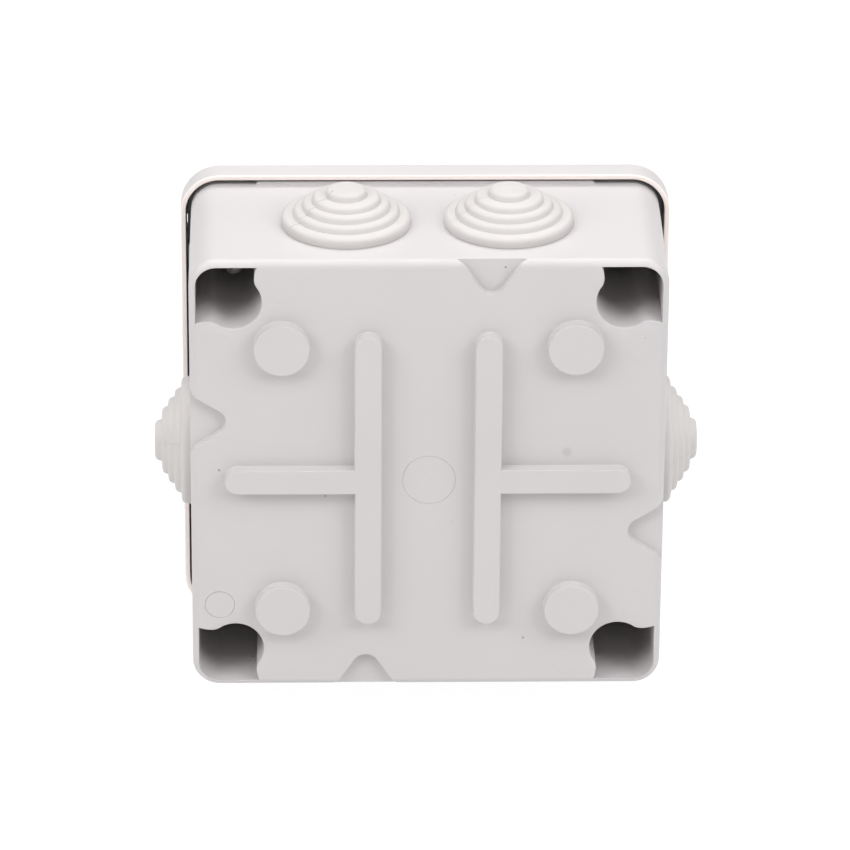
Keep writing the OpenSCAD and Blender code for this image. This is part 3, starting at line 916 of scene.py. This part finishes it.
def threadTree():
    # a strip that winds down the shank: its rows follow the thread, so the crest stays a clean line
    tree = bpy.data.node_groups.new("thread", "GeometryNodeTree")
    for name, value in (("Turns", 17), ("Segments", 28), ("Pitch", 1.1), ("Root Radius", 1.0),
                        ("Crest Radius", 1.45), ("Point Length", 3.0), ("Length", 19.0)):
        inputSocket(tree, name, "NodeSocketInt" if isinstance(value, int) else "NodeSocketFloat", value)
    inputSocket(tree, "Material", "NodeSocketMaterial")
    tree.interface.new_socket(name="Geometry", in_out="OUTPUT", socket_type="NodeSocketGeometry")
    nodes, links = tree.nodes, tree.links
    given, out = nodes.new("NodeGroupInput"), nodes.new("NodeGroupOutput")

    m = mathKit(nodes, links)
    rows, ridgeHalf, ridgeGain, leadIn, pointCurve, mergeDistance = 9, 0.26, 1.25, 2.0, 0.4, 0.0008
    grid = nodes.new("GeometryNodeMeshGrid")
    links.new(m("ADD", m("MULTIPLY", given.outputs["Turns"], given.outputs["Segments"]), 1),
              grid.inputs["Vertices X"])
    grid.inputs["Vertices Y"].default_value = rows
    index = nodes.new("GeometryNodeInputIndex").outputs[0]
    row = m("MODULO", index, rows)
    column = m("FLOOR", m("DIVIDE", m("ADD", index, 0.5), rows))
    turns = m("DIVIDE", column, given.outputs["Segments"])
    share = m("DIVIDE", row, rows - 1)
    raw = m("MULTIPLY", m("SUBTRACT", m("ADD", turns, share), 1.0), given.outputs["Pitch"])
    depth = m("MINIMUM", m("MAXIMUM", raw, 0.0), given.outputs["Length"])
    # the crest is in the middle of each pitch, with a narrow land and straight flanks
    ridge = m("SUBTRACT", 1.0, m("DIVIDE", m("ABSOLUTE", m("SUBTRACT", share, 0.5)), ridgeHalf))
    ridge = m("MINIMUM", m("MAXIMUM", m("MULTIPLY", ridge, ridgeGain), 0.0), 1.0)
    toTip = m("DIVIDE", m("SUBTRACT", given.outputs["Length"], depth), given.outputs["Point Length"])
    narrow = m("POWER", m("MINIMUM", m("MAXIMUM", toTip, 0.0), 1.0), pointCurve)
    start = m("MINIMUM", m("MULTIPLY", depth, leadIn), 1.0)
    tall = m("MULTIPLY", ridge, m("MULTIPLY", start, m("SUBTRACT", given.outputs["Crest Radius"],
                                                      given.outputs["Root Radius"])))
    inside = m("GREATER_THAN", m("SUBTRACT", given.outputs["Length"], raw), 0.0)
    radius = m("MULTIPLY", m("MULTIPLY", m("ADD", given.outputs["Root Radius"], tall), narrow), inside)
    radius = m("MULTIPLY", radius, m("GREATER_THAN", raw, -0.0001))
    angle = m("MULTIPLY", turns, 2 * math.pi)
    place = nodes.new("ShaderNodeCombineXYZ")
    links.new(m("MULTIPLY", radius, m("COSINE", angle)), place.inputs["X"])
    links.new(m("MULTIPLY", radius, m("SINE", angle)), place.inputs["Y"])
    links.new(m("MULTIPLY", depth, -1.0), place.inputs["Z"])
    setPlace = nodes.new("GeometryNodeSetPosition")
    links.new(grid.outputs["Mesh"], setPlace.inputs["Geometry"])
    links.new(place.outputs[0], setPlace.inputs["Position"])
    merge = nodes.new("GeometryNodeMergeByDistance")
    merge.inputs["Distance"].default_value = mergeDistance
    links.new(setPlace.outputs[0], merge.inputs["Geometry"])
    finishTree(nodes, links, merge.outputs[0], given.outputs["Material"], out)
    return tree


thread = threadTree()
emptyMesh = bpy.data.meshes.new("empty")


def buildScrew(s):
    # a pan head with a cross recess, over a threaded shank; outline points are (radius, height, softness)
    top, r, neck, sink = s["headH"], s["headR"], s["rootR"] * s["neckIn"], s["sink"]
    (rimIn, rimSoft), (sideZ, sideSoft), (crownR, crownSoft) = s["rim"], s["side"], s["crown"]
    shoulderR, shoulderZ, shoulderSoft = s["shoulder"]
    head = runTree(lathe, outlineMesh([
        (0, sink, 0), (neck, sink, 0), (neck, 0, 0), (r - rimIn, 0, rimSoft), (r, sideZ, sideSoft),
        (r * shoulderR, top * shoulderZ, shoulderSoft), (r * crownR, top, crownSoft), (0, top, 0)]),
        Segments=72, CornerSteps=6, Softness=1.0, Material=screwZinc)
    w, h, deep, cross = s["crossW"], s["crossHalf"], s["crossDeep"], []
    for quarter in range(4):
        cross += turned([(h, -w), (h, w), (w, w)], quarter)
    recess = loft(cross, [(-0.22, top - deep), (-0.1, top - deep + 0.25), (0, top + 0.4)])
    head = combine("head", head, ("DIFFERENCE", together("recess", [recess])))
    shank = runTree(thread, emptyMesh.copy(), Turns=s["turns"], Segments=s["segments"], Pitch=s["pitch"],
                    RootRadius=s["rootR"], CrestRadius=s["threadR"], PointLength=s["pointLength"],
                    Length=s["length"], Material=screwZinc)
    bm = bmesh.new()
    bm.from_mesh(head)
    bm.from_mesh(shank)
    mesh = bpy.data.meshes.new("screw")
    bm.to_mesh(mesh)
    bm.free()
    return mesh


def buildSeal(s):
    low, high, out, hole = s["sealLow"], s["sealHigh"], s["sealOut"], s["sealIn"]
    points = [(hole, low, 0.2), (out, low, 0.3), (out, high, 0.3), (hole, high, 0.2)]
    return runTree(lathe, outlineMesh(points, closed=True), Segments=64, CornerSteps=5, Softness=1.0,
                   Material=sealRubber)


screwShape = buildScrew(screwSize)
sealShape = buildSeal(screwSize)
for name, place in screwPlaces.items():
    x, y = (side * screwSize["at"] for side in place["side"])
    spin = Matrix.Rotation(math.radians(place["spin"]), 4, "Z")
    mesh = screwShape.copy()
    mesh.transform(Matrix.Translation((x, y, screwSize["headZ"] + place["out"])) @ spin)
    finishPiece("screw." + name, mesh, "screw_" + name, "screw_" + name, screwZinc)
    mesh = sealShape.copy()
    mesh.transform(Matrix.Translation((x, y, place["out"])))
    finishPiece("screwSeal." + name, mesh, "seal_" + name, "screw_seal_" + name, sealRubber)


# The stage, in metres: a pale floor just under the lowest grommet, soft lamps all round, and a long lens.
stageSize = {"floorZ": -0.0472, "floorHalf": 12.0, "glow": 0.93, "tone": 0.12, "drift": (0.99, 3)}
lightSize = {
    "key": {"at": (0.0, 0.66, 1.12), "aim": (0, -0.01, 0), "size": (1.2, 0.6), "power": 5.0},
    "leftFill": {"at": (0.8, 0.46, 0.62), "aim": (0, -0.01, 0), "size": (0.6, 0.6), "power": 6.0},
    "rightFill": {"at": (-0.8, 0.46, 0.62), "aim": (0, -0.01, 0), "size": (0.6, 0.6), "power": 6.0},
    "back": {"at": (0.0, -0.55, 1.1), "aim": (0, -0.03, 0), "size": (1.2, 0.6), "power": 9.5},
}
skyTones = [(0.0, 0.04), (0.35, 0.07), (0.7, 0.35), (1.0, 0.5)]  # (height, brightness)
viewSize = {  # rise and across shift the aim in the view's own up and right
    "position": (0.02239, 0.88974, 0.45179), "aim": (0.0, -0.0173, 0.0), "lens": 246.7, "sensor": 36,
    "clip": (0.05, 20), "roll": 0.43, "rise": 0.00221, "across": -0.00017,
}


def buildFloor(s):
    h, z = s["floorHalf"], s["floorZ"]
    mesh = newMesh("floor", [(-h, -h, z), (h, -h, z), (h, h, z), (-h, h, z)], [(0, 1, 2, 3)])
    material, nodes, links, shader, vector = newMaterial("paleFloor")
    shade = addRamp(nodes, links, addNoise(nodes, links, vector, s["drift"][1]),
                    [(0.3, grey(s["tone"] * s["drift"][0])), (0.7, grey(s["tone"]))])
    links.new(shade, shader.inputs["Base Color"])
    shader.inputs["Emission Color"].default_value = grey(1)
    shader.inputs["Emission Strength"].default_value = s["glow"]
    shader.inputs["Roughness"].default_value = 0.9
    shader.inputs["Specular IOR Level"].default_value = 0.1
    mesh.materials.append(material)
    floor = placed("floor", mesh)


def aimAt(thing, position, target, upHint=(0, 0, 1)):
    back = (Vector(position) - Vector(target)).normalized()
    right = Vector(upHint).cross(back).normalized()
    up = back.cross(right)
    thing.matrix_world = Matrix((
        (right.x, up.x, back.x, position[0]), (right.y, up.y, back.y, position[1]),
        (right.z, up.z, back.z, position[2]), (0, 0, 0, 1)))
    return right, up


def buildLights(s):
    for name, spec in s.items():
        data = bpy.data.lights.new(name, "AREA")
        data.shape = "RECTANGLE"
        data.size, data.size_y = spec["size"]
        data.energy = spec["power"]
        aimAt(placed(name + "Light", data), spec["at"], spec["aim"])
    world = bpy.data.worlds.new("studio")
    world.use_nodes = True
    nodes, links = world.node_tree.nodes, world.node_tree.links
    coords, split = nodes.new("ShaderNodeTexCoord"), nodes.new("ShaderNodeSeparateXYZ")
    links.new(coords.outputs["Generated"], split.inputs[0])
    sky = addRamp(nodes, links, split.outputs["Z"], [(height, grey(tone)) for height, tone in skyTones])
    links.new(sky, nodes["Background"].inputs["Color"])
    nodes["Background"].inputs["Strength"].default_value = 1.0
    bpy.context.scene.world = world


def buildCamera(s):
    data = bpy.data.cameras.new("camera")
    data.lens = s["lens"]
    data.sensor_width = s["sensor"]
    data.clip_start, data.clip_end = s["clip"]
    camera = placed("camera", data)
    position, aim = Vector(s["position"]), Vector(s["aim"])
    right, up = aimAt(camera, position, aim)
    roll = math.radians(s["roll"])
    tilted = up * math.cos(roll) - right * math.sin(roll)
    across = right * math.cos(roll) + up * math.sin(roll)
    aimAt(camera, position, aim + tilted * s["rise"] + across * s["across"], tilted)
    bpy.context.scene.camera = camera


buildFloor(stageSize)
buildLights(lightSize)
buildCamera(viewSize)
bpy.context.scene.view_settings.view_transform = "Standard"
